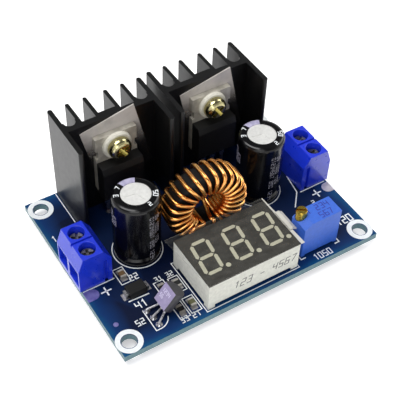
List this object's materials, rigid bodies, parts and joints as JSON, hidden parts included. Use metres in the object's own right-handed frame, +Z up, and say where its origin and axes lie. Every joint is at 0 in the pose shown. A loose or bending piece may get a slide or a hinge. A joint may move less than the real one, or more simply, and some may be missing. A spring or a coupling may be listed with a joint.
{
  "type": "buck converter module",
  "caption": "Step-down voltage converter board with finned heatsinks, a toroidal choke, electrolytic capacitors, screw terminals, a trimmer and a digit display",
  "frame": {"origin": "below the centre of the board, in the plane of the longest lead ends, on which the module stands", "axes": "+X along the front edge from the input terminal to the output terminal, +Y from the display to the heatsinks, +Z up"},
  "size_m": [0.0648, 0.0477, 0.0296],
  "materials": {
    "board": "satin solder mask on glass-fibre laminate",
    "tin": "bright solder coating",
    "black_anodised": "black anodised",
    "copper_tab": "tinned",
    "epoxy": "moulded",
    "pad": "satin",
    "cream": "moulded",
    "brass": "bright",
    "zinc": "zinc plated",
    "ferrite": "coated",
    "copper": "enamelled",
    "can": "bright",
    "sleeve": "gloss",
    "terminal_blue": "moulded",
    "display_grey": "printed",
    "segment": "cast",
    "white_shell": "moulded",
    "film": "clear",
    "trimmer_blue": "moulded",
    "chip_brown": "sintered"
  },
  "bodies": {
    "module": {"circuit_board": "board", "tinned_pads": "tin", "solder_joints": "tin", "heatsink_left": "black_anodised", "heatsink_right": "black_anodised", "heatsink_left_pins": "tin", "heatsink_right_pins": "tin", "insulator_left": "pad", "insulator_right": "pad", "regulator_tab": "copper_tab", "regulator_body": "epoxy", "regulator_leads": "tin", "rectifier_tab": "copper_tab", "rectifier_body": "epoxy", "rectifier_leads": "tin", "bushing_left": "cream", "bushing_right": "cream", "fixing_screw_left": "brass", "fixing_screw_right": "brass", "choke_core": "ferrite", "choke_winding": "copper", "capacitor_left_can": "can", "capacitor_left_sleeve": "sleeve", "capacitor_left_leads": "tin", "capacitor_right_can": "can", "capacitor_right_sleeve": "sleeve", "capacitor_right_leads": "tin", "input_housing": "terminal_blue", "input_boxes": "zinc", "output_housing": "terminal_blue", "output_boxes": "zinc", "display_shell": "white_shell", "display_face": "display_grey", "display_segments": "segment", "display_pins": "tin", "display_film": "film", "trimmer_body": "trimmer_blue", "trimmer_pins": "tin", "transistor_body": "epoxy", "transistor_leads": "tin", "diode_body": "epoxy", "diode_ends": "tin", "chip_resistor_1": "epoxy", "chip_resistor_2": "epoxy", "chip_resistor_3": "epoxy", "chip_capacitor_1": "chip_brown", "chip_capacitor_2": "chip_brown", "meter_chip_body": "epoxy", "meter_chip_leads": "tin"},
    "input_leaf_1": {"input_leaf_1": "brass"},
    "input_screw_1": {"input_screw_1": "zinc"},
    "input_leaf_2": {"input_leaf_2": "brass"},
    "input_screw_2": {"input_screw_2": "zinc"},
    "output_leaf_1": {"output_leaf_1": "brass"},
    "output_screw_1": {"output_screw_1": "zinc"},
    "output_leaf_2": {"output_leaf_2": "brass"},
    "output_screw_2": {"output_screw_2": "zinc"},
    "trimmer_screw": {"trimmer_screw": "brass"}
  },
  "joints": [
    {"name": "input_leaf_1_lift", "type": "slide", "parent": "module", "child": "input_leaf_1", "axis": [0, 0, -1], "range_m": [-0.0016, 0.0007]},
    {"name": "input_screw_1_turn", "type": "hinge", "parent": "input_leaf_1", "child": "input_screw_1", "pos_m": [-0.0288, -0.0023, 0.0094], "axis": [0, 0, -1], "range_deg": [-1153, 505]},
    {"name": "input_leaf_2_lift", "type": "slide", "parent": "module", "child": "input_leaf_2", "axis": [0, 0, -1], "range_m": [-0.0016, 0.0007]},
    {"name": "input_screw_2_turn", "type": "hinge", "parent": "input_leaf_2", "child": "input_screw_2", "pos_m": [-0.0288, 0.0027, 0.0094], "axis": [0, 0, -1], "range_deg": [-1153, 505]},
    {"name": "output_leaf_1_lift", "type": "slide", "parent": "module", "child": "output_leaf_1", "axis": [0, 0, -1], "range_m": [-0.0016, 0.0007]},
    {"name": "output_screw_1_turn", "type": "hinge", "parent": "output_leaf_1", "child": "output_screw_1", "pos_m": [0.02905, -0.0018, 0.0094], "axis": [0, 0, -1], "range_deg": [-1153, 505]},
    {"name": "output_leaf_2_lift", "type": "slide", "parent": "module", "child": "output_leaf_2", "axis": [0, 0, -1], "range_m": [-0.0016, 0.0007]},
    {"name": "output_screw_2_turn", "type": "hinge", "parent": "output_leaf_2", "child": "output_screw_2", "pos_m": [0.02905, 0.0032, 0.0094], "axis": [0, 0, -1], "range_deg": [-1153, 505]},
    {"name": "trimmer_turn", "type": "hinge", "parent": "module", "child": "trimmer_screw", "pos_m": [0.01465, -0.0169, 0.0134], "axis": [0, 0, 1], "continuous": true}
  ],
  "couplings": [
    {"joint": "input_screw_1_turn", "follows": "input_leaf_1_lift", "rad_per_m": 12566},
    {"joint": "input_screw_2_turn", "follows": "input_leaf_2_lift", "rad_per_m": 12566},
    {"joint": "output_screw_1_turn", "follows": "output_leaf_1_lift", "rad_per_m": 12566},
    {"joint": "output_screw_2_turn", "follows": "output_leaf_2_lift", "rad_per_m": 12566}
  ]
}
